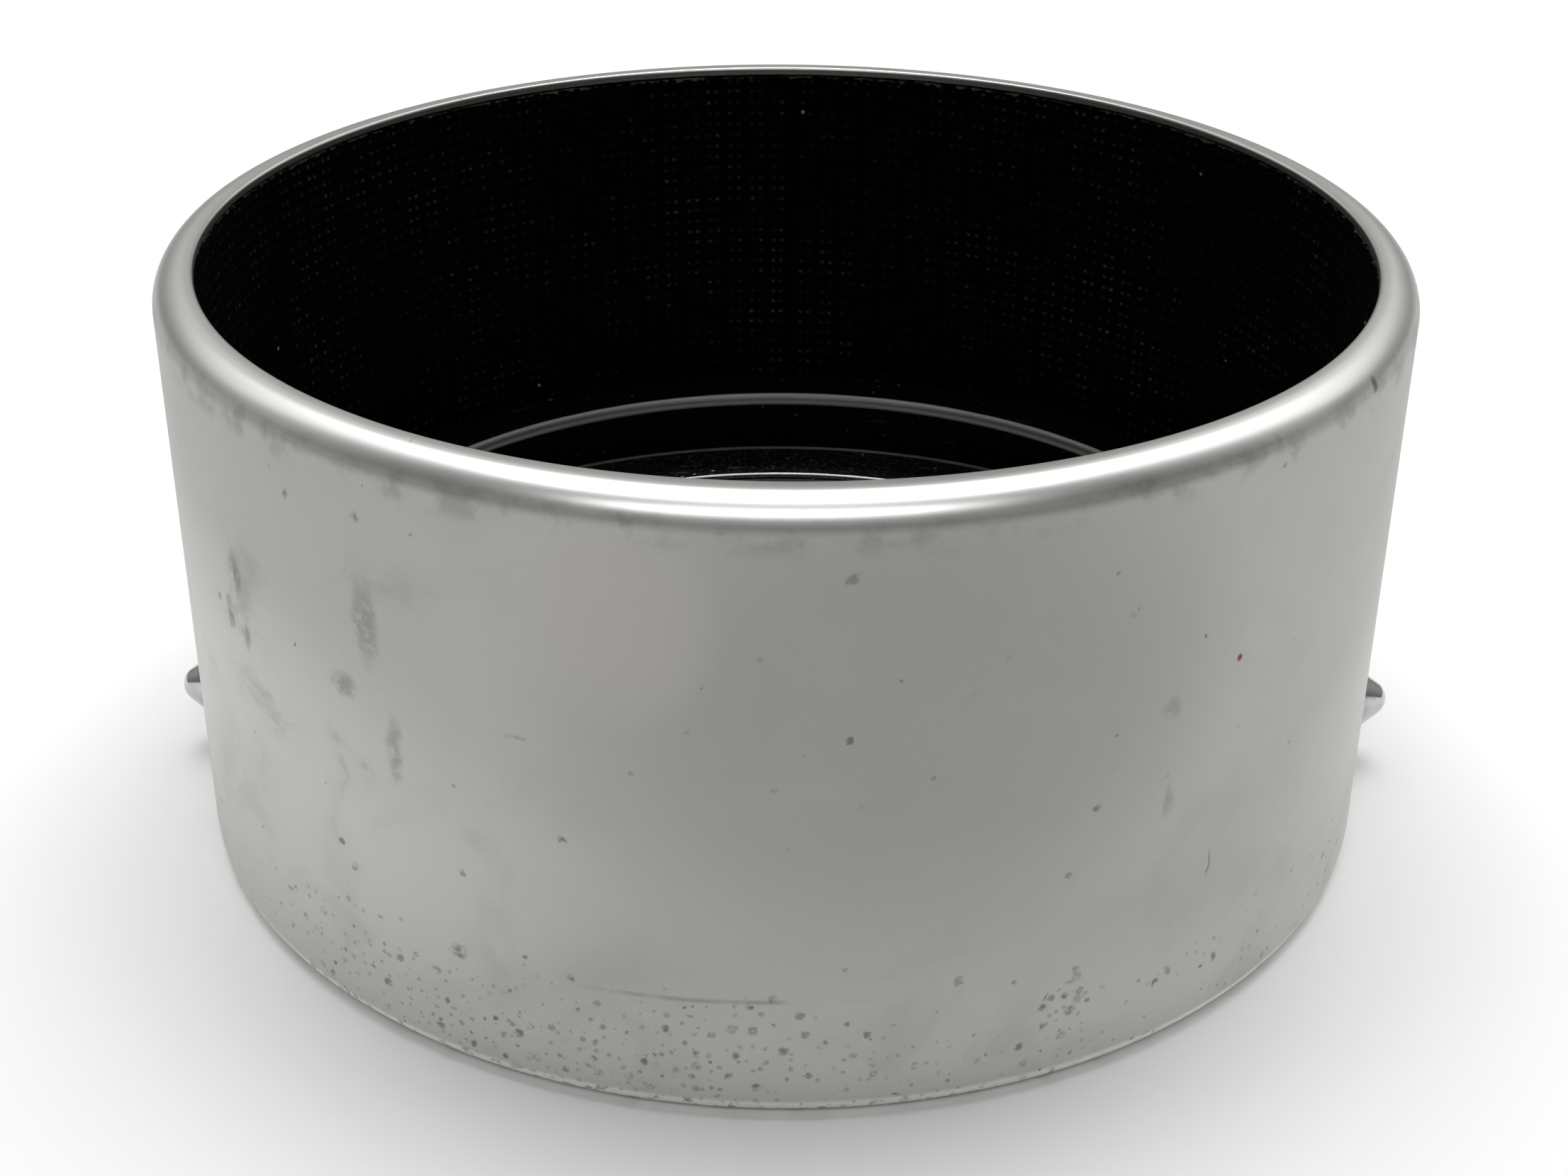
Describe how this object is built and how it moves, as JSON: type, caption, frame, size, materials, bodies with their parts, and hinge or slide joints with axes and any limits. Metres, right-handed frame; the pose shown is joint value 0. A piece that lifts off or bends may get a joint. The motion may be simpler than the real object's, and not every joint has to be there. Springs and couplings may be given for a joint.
{
  "type": "lens hood",
  "caption": "Short round push-on lens hood with a rounded lip, cloth-lined bore, stepped black inner rings and two opposed sprung release buttons.",
  "frame": {"origin": "centre of the rear face, on the barrel's axis", "axes": "+Z along the barrel's axis towards the front opening, +X through the right-hand release button"},
  "size_m": [0.0558, 0.052, 0.0257],
  "materials": {
    "satin_aluminium": "satin anodised, fine turned texture, lightly pitted near the rear edge",
    "black_cloth": "matt black woven cloth",
    "black_enamel": "semi-gloss black enamel, rubbed bright on the bore edge",
    "chrome": "polished",
    "spring_steel": "blued, oiled",
    "hard_steel": "ground",
    "brass": "turned"
  },
  "bodies": {
    "barrel": {"hood_shell": "satin_aluminium", "cloth_lining": "black_cloth", "lining_retainer_ring": "black_enamel", "spacer_sleeve": "black_enamel", "cover_plate": "black_enamel", "mount_collar": "black_enamel", "return_spring_right": "spring_steel", "guide_pin_front_right": "brass", "guide_pin_rear_right": "brass", "cover_pillar_right": "brass", "rear_screw_right": "hard_steel", "return_spring_left": "spring_steel", "guide_pin_front_left": "brass", "guide_pin_rear_left": "brass", "cover_pillar_left": "brass", "rear_screw_left": "hard_steel"},
    "catch_right": {"button_right": "chrome", "slide_arm_right": "spring_steel", "claw_right": "hard_steel", "claw_rivet_right": "brass"},
    "catch_left": {"button_left": "chrome", "slide_arm_left": "spring_steel", "claw_left": "hard_steel", "claw_rivet_left": "brass"}
  },
  "joints": [
    {"name": "button_press_right", "type": "slide", "parent": "barrel", "child": "catch_right", "axis": [-1, 0, 0], "range_m": [0, 0.0008], "stiffness_N_per_m": 1500, "springref_m": -0.0006, "deforming": ["return_spring_right"]},
    {"name": "button_press_left", "type": "slide", "parent": "barrel", "child": "catch_left", "axis": [1, 0, 0], "range_m": [0, 0.0008], "stiffness_N_per_m": 1500, "springref_m": -0.0006, "deforming": ["return_spring_left"]}
  ]
}
